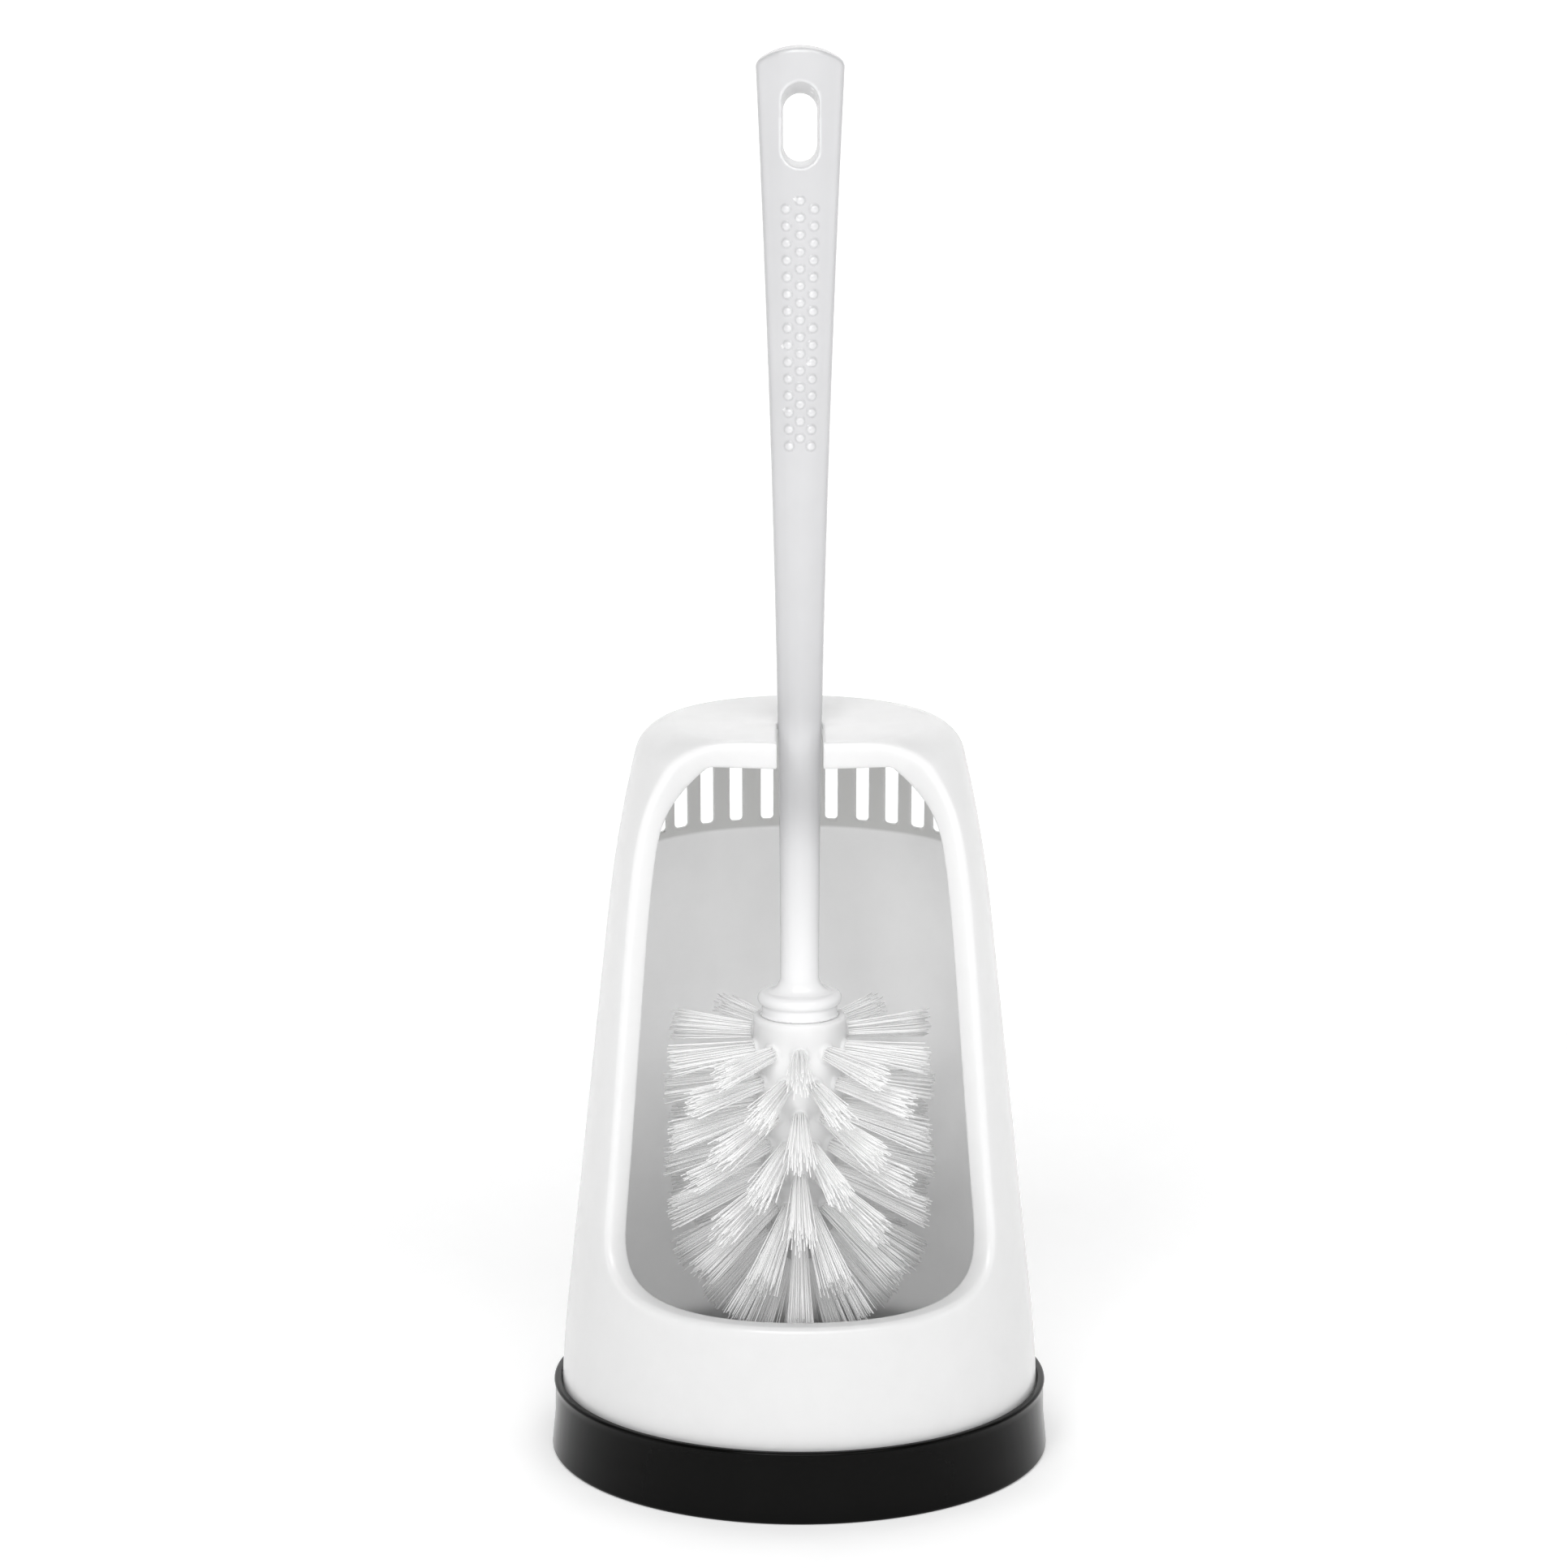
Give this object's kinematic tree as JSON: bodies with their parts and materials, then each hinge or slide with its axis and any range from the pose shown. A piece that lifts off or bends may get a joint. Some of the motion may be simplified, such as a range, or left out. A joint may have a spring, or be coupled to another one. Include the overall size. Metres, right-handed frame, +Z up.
{
  "type": "toilet brush holder",
  "caption": "Free-standing toilet brush set: a conical holder with an arched front opening and a notched hood on a drip tray, and a brush that hangs in it by its tapered handle.",
  "frame": {"origin": "centre of the round face that the tray stands on, at floor height", "axes": "+Z up along the brush and the holder's axis, -Y out of the holder's front opening, +X to the right seen from the front"},
  "size_m": [0.135, 0.135, 0.3785],
  "materials": {
    "tray": "black injection-moulded plastic, high gloss",
    "holder": "white injection-moulded plastic, glossy",
    "handle": "white injection-moulded plastic, soft gloss",
    "core": "milky, slightly translucent plastic",
    "bristles": "white nylon filaments in round tufts"
  },
  "bodies": {
    "base": {"base_tray": "tray"},
    "holder": {"holder_shell": "holder"},
    "brush": {"brush_handle": "handle", "brush_head_core": "core", "bristle_row_1": "bristles", "bristle_row_2": "bristles", "bristle_row_3": "bristles", "bristle_row_4": "bristles", "bristle_row_5": "bristles", "bristle_row_6": "bristles", "bristle_row_7": "bristles", "bristle_end_tufts": "bristles"}
  },
  "joints": [
    {"name": "holder_lifts_off_tray", "type": "slide", "parent": "base", "child": "holder", "axis": [0, 0, 1], "range_m": [0, 0.06]},
    {"name": "brush_draws_out", "type": "slide", "parent": "holder", "child": "brush", "axis": [0, -0.866, 0.5], "range_m": [0, 0.16]}
  ]
}
